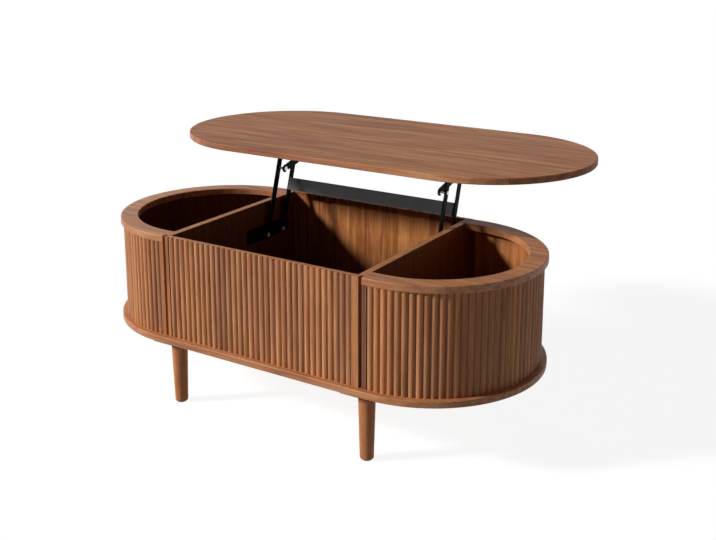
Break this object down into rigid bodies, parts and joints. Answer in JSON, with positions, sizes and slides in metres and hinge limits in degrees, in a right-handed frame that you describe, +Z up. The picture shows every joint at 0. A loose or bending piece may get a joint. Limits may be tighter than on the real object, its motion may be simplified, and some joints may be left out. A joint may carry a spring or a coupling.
{
  "type": "oval lift-top coffee table",
  "caption": "Oval fluted coffee table on tapered legs, with open storage inside and a top that lifts towards the user on parallel arms.",
  "frame": {"origin": "on the floor, under the middle of the carcass, between the feet", "axes": "+X along the table to the right of the pictured front, +Y to the side where the raised top comes out, +Z up"},
  "size_m": [1.2, 0.8746, 0.634],
  "materials": {
    "top_veneer": "satin walnut veneer",
    "panel_veneer": "satin walnut veneer",
    "slat_wood": "satin walnut",
    "leg_wood": "satin walnut",
    "dowel_wood": "raw beech",
    "black_steel": "matte black powder coat",
    "grey_steel": "matte charcoal coat",
    "bright_steel": "bright zinc",
    "felt": "dark felt",
    "rubber": "matte rubber"
  },
  "bodies": {
    "carcass": {"base_plate": "top_veneer", "left_rim": "top_veneer", "right_rim": "top_veneer", "left_partition": "panel_veneer", "right_partition": "panel_veneer", "left_end_wall": "panel_veneer", "right_end_wall": "panel_veneer", "front_panel": "panel_veneer", "back_panel": "panel_veneer", "left_front_stile": "panel_veneer", "left_rear_stile": "panel_veneer", "right_front_stile": "panel_veneer", "right_rear_stile": "panel_veneer", "left_end_slats": "slat_wood", "right_end_slats": "slat_wood", "front_slats": "slat_wood", "back_slats": "slat_wood", "front_left_leg": "leg_wood", "front_right_leg": "leg_wood", "rear_left_leg": "leg_wood", "rear_right_leg": "leg_wood", "panel_dowels": "dowel_wood", "left_base_bracket": "black_steel", "right_base_bracket": "black_steel", "leg_plates": "black_steel", "base_bracket_screws": "black_steel", "base_screws": "bright_steel", "leg_bolts": "bright_steel", "leg_plate_screws": "bright_steel", "lower_pivot_pins": "bright_steel", "foot_glides": "felt"},
    "rear_arms": {"left_rear_arm": "black_steel", "right_rear_arm": "black_steel", "crossbar": "grey_steel", "crossbar_rivets": "black_steel", "latch_pivot_pins": "bright_steel"},
    "lid": {"table_top": "top_veneer", "left_upper_bracket": "black_steel", "right_upper_bracket": "black_steel", "upper_pivot_pins": "bright_steel", "upper_bracket_screws": "bright_steel", "lid_bumpers": "rubber"},
    "left_front_arm": {"left_front_arm": "black_steel", "left_stop_pin": "bright_steel"},
    "right_front_arm": {"right_front_arm": "black_steel", "right_stop_pin": "bright_steel"},
    "left_latch": {"left_latch_hook": "black_steel"},
    "right_latch": {"right_latch_hook": "black_steel"}
  },
  "joints": [
    {"name": "lift", "type": "hinge", "parent": "carcass", "child": "rear_arms", "pos_m": [0, 0.1886, 0.363], "axis": [1, 0, 0], "range_deg": [0, 91.38]},
    {"name": "lid_level", "type": "hinge", "parent": "rear_arms", "child": "lid", "pos_m": [0, 0.25752, 0.58704], "axis": [1, 0, 0], "range_deg": [-91.38, 0]},
    {"name": "left_front_arm_turn", "type": "hinge", "parent": "carcass", "child": "left_front_arm", "pos_m": [-0.26515, 0.118, 0.363], "axis": [1, 0, 0], "range_deg": [0, 91.38]},
    {"name": "right_front_arm_turn", "type": "hinge", "parent": "carcass", "child": "right_front_arm", "pos_m": [0.26515, 0.118, 0.363], "axis": [1, 0, 0], "range_deg": [0, 91.38]},
    {"name": "left_latch_turn", "type": "hinge", "parent": "rear_arms", "child": "left_latch", "pos_m": [-0.245, 0.25005, 0.56276], "axis": [1, 0, 0], "range_deg": [-118.8, 0]},
    {"name": "right_latch_turn", "type": "hinge", "parent": "rear_arms", "child": "right_latch", "pos_m": [0.245, 0.25005, 0.56276], "axis": [1, 0, 0], "range_deg": [-118.8, 0]}
  ],
  "couplings": [
    {"joint": "lid_level", "follows": "lift", "ratio": -1},
    {"joint": "left_front_arm_turn", "follows": "lift", "ratio": 1},
    {"joint": "right_front_arm_turn", "follows": "lift", "ratio": 1},
    {"joint": "left_latch_turn", "follows": "lift", "ratio": -1.3},
    {"joint": "right_latch_turn", "follows": "lift", "ratio": -1.3}
  ]
}
